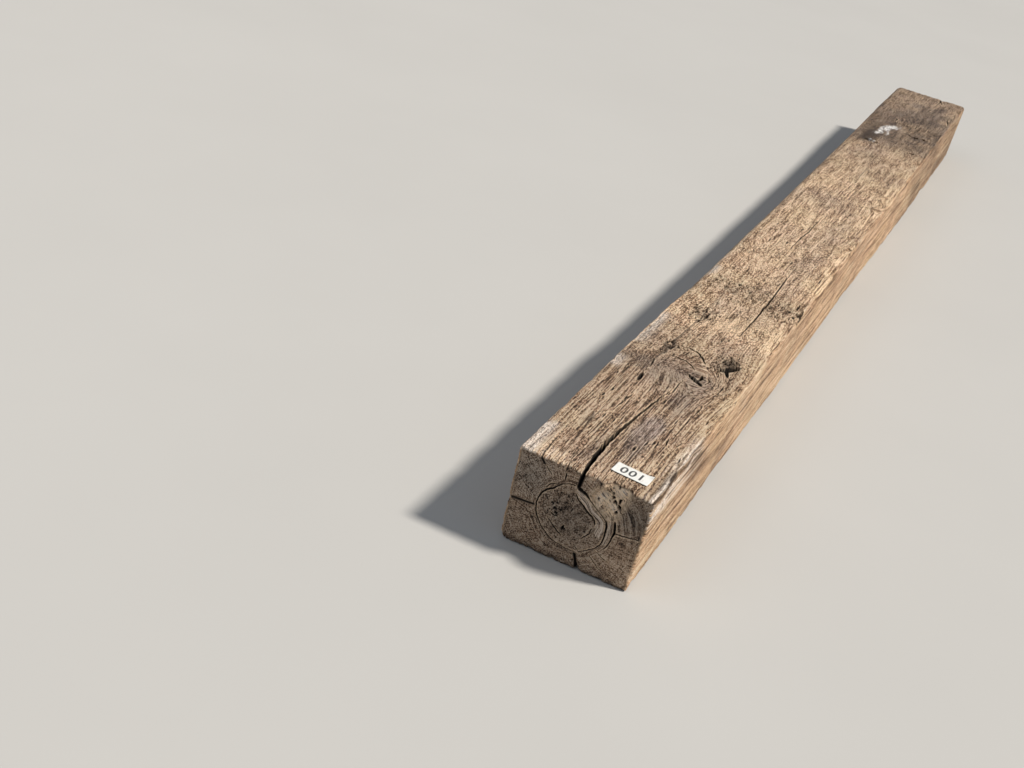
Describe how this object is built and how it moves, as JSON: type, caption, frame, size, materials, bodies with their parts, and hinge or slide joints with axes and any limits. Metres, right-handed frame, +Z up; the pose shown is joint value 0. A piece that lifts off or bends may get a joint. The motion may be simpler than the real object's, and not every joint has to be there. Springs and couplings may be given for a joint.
{
  "type": "railway sleeper",
  "caption": "Worn hardwood railway sleeper with dressed rail seats, old spike holes, a wane edge, drying checks and a ring shake round the pith, with a small number label near one end.",
  "frame": {"origin": "middle of the flat bed that the sleeper rests on", "axes": "+Z up from the bed, Y along the length from the labelled end at -Y to the far end at +Y, +X across to the right seen from the labelled end"},
  "size_m": [0.2, 2.6, 0.1504],
  "materials": {
    "weathered_timber": "weathered, rough, unpainted",
    "label": "plain white, matte"
  },
  "bodies": {
    "root": {"sleeper_timber": "weathered_timber", "number_label": "label"}
  },
  "joints": []
}
